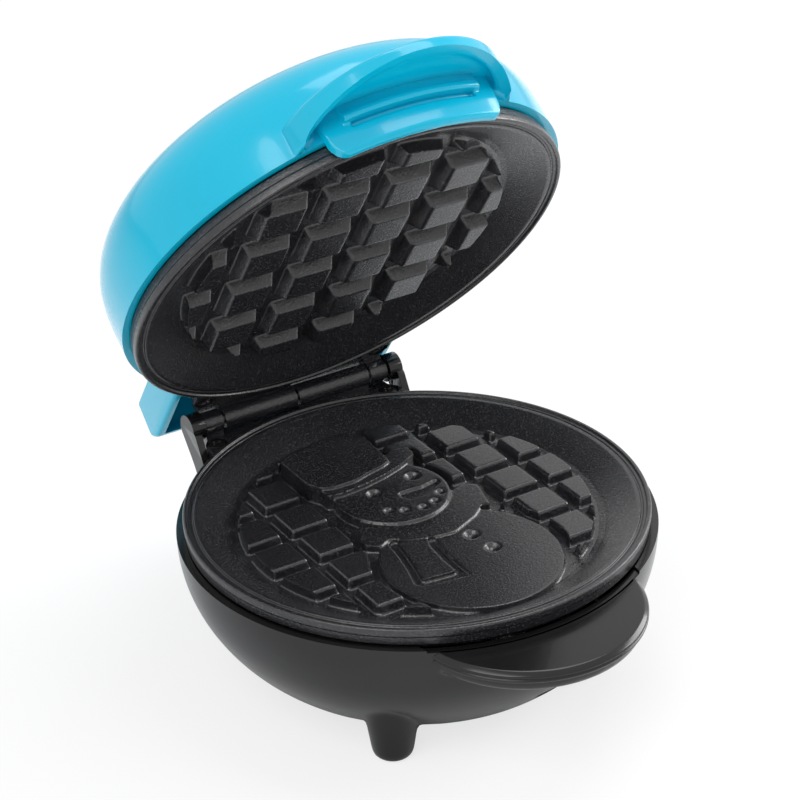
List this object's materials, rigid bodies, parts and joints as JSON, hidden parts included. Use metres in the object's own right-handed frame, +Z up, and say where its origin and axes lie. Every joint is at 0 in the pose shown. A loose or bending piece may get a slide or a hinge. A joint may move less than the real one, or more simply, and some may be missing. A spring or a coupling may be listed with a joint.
{
  "type": "mini waffle maker",
  "caption": "Round table-top mini waffle maker with a domed lid on a rear hinge, cast non-stick plates with waffle blocks round a snowman, crescent handles and peg feet.",
  "frame": {"origin": "middle of the footprint box, at the level of the feet, with the lid held open as at rest", "axes": "+X along the hinge to the right, +Y to the hinge at the back, +Z up"},
  "size_m": [0.127, 0.1714, 0.1756],
  "materials": {
    "black_shell": "semi-gloss black moulding",
    "aqua_shell": "high-gloss aqua moulding",
    "nonstick": "cast, fine-textured dark non-stick coating",
    "screw_steel": "black-oxide screws",
    "zinc_steel": "zinc plated",
    "pin_steel": "plain steel",
    "heater_sheath": "matt sheath",
    "reflector_sheet": "bright sheet",
    "ceramic_white": "glazed ceramic look",
    "fuse_sleeve": "woven glass sleeve",
    "brass_parts": "plain",
    "gland_rubber": "matt",
    "lead_insulation": "silicone insulation",
    "lens_clear": "clear tinted",
    "lamp_glass": "clear"
  },
  "bodies": {
    "base": {"base_housing": "black_shell", "lower_plate": "nonstick", "lower_element": "heater_sheath", "lower_element_clamp": "zinc_steel", "lower_spacers": "zinc_steel", "lower_reflector": "reflector_sheet", "lower_stack_screws": "zinc_steel", "lower_lug_screws": "screw_steel", "foot_screws": "zinc_steel", "thermostat": "ceramic_white", "thermostat_clip": "zinc_steel", "thermostat_screws": "zinc_steel", "thermal_fuse": "fuse_sleeve", "fuse_clip": "zinc_steel", "terminal_block": "ceramic_white", "terminal_screws": "brass_parts", "cord_gland": "gland_rubber", "supply_leads": "lead_insulation", "element_leads": "lead_insulation", "hinge_pin": "pin_steel"},
    "lid": {"lid_cover": "aqua_shell", "upper_plate": "nonstick", "upper_element": "heater_sheath", "upper_element_clamp": "zinc_steel", "upper_spacers": "zinc_steel", "upper_reflector": "reflector_sheet", "upper_stack_screws": "zinc_steel", "upper_lug_screws": "screw_steel", "lid_leads": "lead_insulation", "indicator_lens": "lens_clear", "indicator_lamp": "lamp_glass"}
  },
  "joints": [
    {"name": "lid_hinge", "type": "hinge", "parent": "base", "child": "lid", "pos_m": [0, 0.05983, 0.0485], "axis": [-1, 0, 0], "range_deg": [-56.3, 40.4]}
  ]
}
